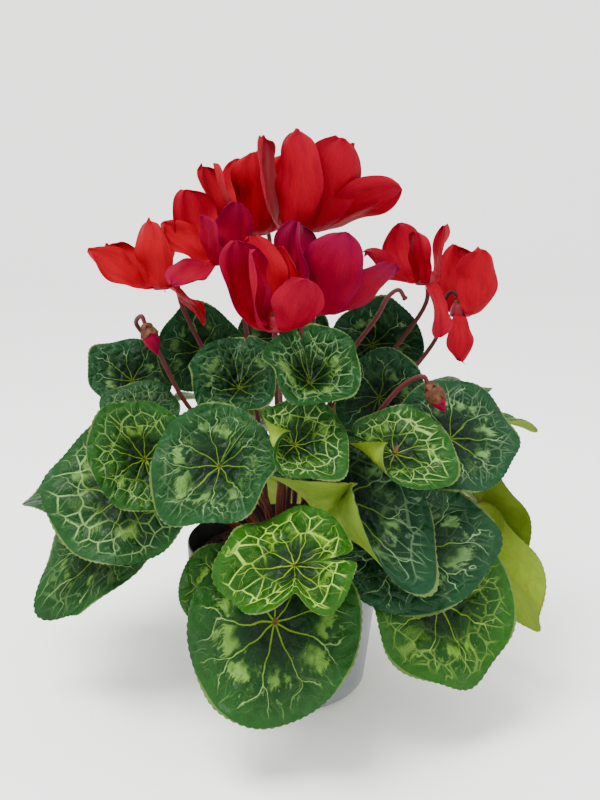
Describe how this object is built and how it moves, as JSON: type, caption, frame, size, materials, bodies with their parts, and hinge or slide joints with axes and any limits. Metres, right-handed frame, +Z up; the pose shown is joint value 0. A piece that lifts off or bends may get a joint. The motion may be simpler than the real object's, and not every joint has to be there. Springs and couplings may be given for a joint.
{
  "type": "potted cyclamen",
  "caption": "Potted cyclamen: a dome of marbled heart-shaped leaves and hooked stalks with upswept red blooms, in a black growing pot inside a grey tapered cover pot.",
  "frame": {"origin": "centre of the cover pot's flat base, which the plant stands on", "axes": "+Z up along the pot's axis; -Y towards the plant's front, where the broad leaf hangs over the rim; +X to the front's right"},
  "size_m": [0.2836, 0.2605, 0.3031],
  "materials": {
    "cover_pot": "satin light grey",
    "growing_pot": "satin black",
    "compost": "dark, moist and crumbly",
    "tuber": "brown and corky",
    "leaf": "deep green with a silver-green pattern and pale veins",
    "petal": "velvety red, darker at the mouth",
    "stalk": "reddish brown",
    "bud": "pink and rolled",
    "dried_stems": "dry and brown"
  },
  "bodies": {
    "root": {"cover_pot": "cover_pot", "growing_pot": "growing_pot", "compost": "compost", "tuber": "tuber", "leaf_01": "leaf", "leaf_02": "leaf", "leaf_03": "leaf", "leaf_04": "leaf", "leaf_05": "leaf", "leaf_06": "leaf", "leaf_07": "leaf", "leaf_08": "leaf", "leaf_09": "leaf", "leaf_10": "leaf", "leaf_11": "leaf", "leaf_12": "leaf", "leaf_13": "leaf", "leaf_14": "leaf", "leaf_15": "leaf", "leaf_16": "leaf", "leaf_17": "leaf", "leaf_18": "leaf", "leaf_19": "leaf", "leaf_20": "leaf", "leaf_21": "leaf", "leaf_22": "leaf", "leaf_23": "leaf", "leaf_24": "leaf", "leaf_25": "leaf", "leaf_26": "leaf", "leaf_27": "leaf", "leaf_28": "leaf", "leaf_29": "leaf", "leaf_30": "leaf", "leaf_31": "leaf", "leaf_32": "leaf", "leaf_33": "leaf", "leaf_34": "leaf", "bloom_1": "petal", "bloom_1_stalk": "stalk", "bloom_2": "petal", "bloom_2_stalk": "stalk", "bloom_3": "petal", "bloom_3_stalk": "stalk", "bloom_4": "petal", "bloom_4_stalk": "stalk", "bloom_5": "petal", "bloom_5_stalk": "stalk", "bloom_6": "petal", "bloom_6_stalk": "stalk", "bloom_7": "petal", "bloom_7_stalk": "stalk", "bloom_8": "petal", "bloom_8_stalk": "stalk", "bud_1": "bud", "bud_1_stalk": "stalk", "bud_2": "bud", "bud_2_stalk": "stalk", "spent_stalk": "stalk", "dried_stems": "dried_stems"}
  },
  "joints": []
}
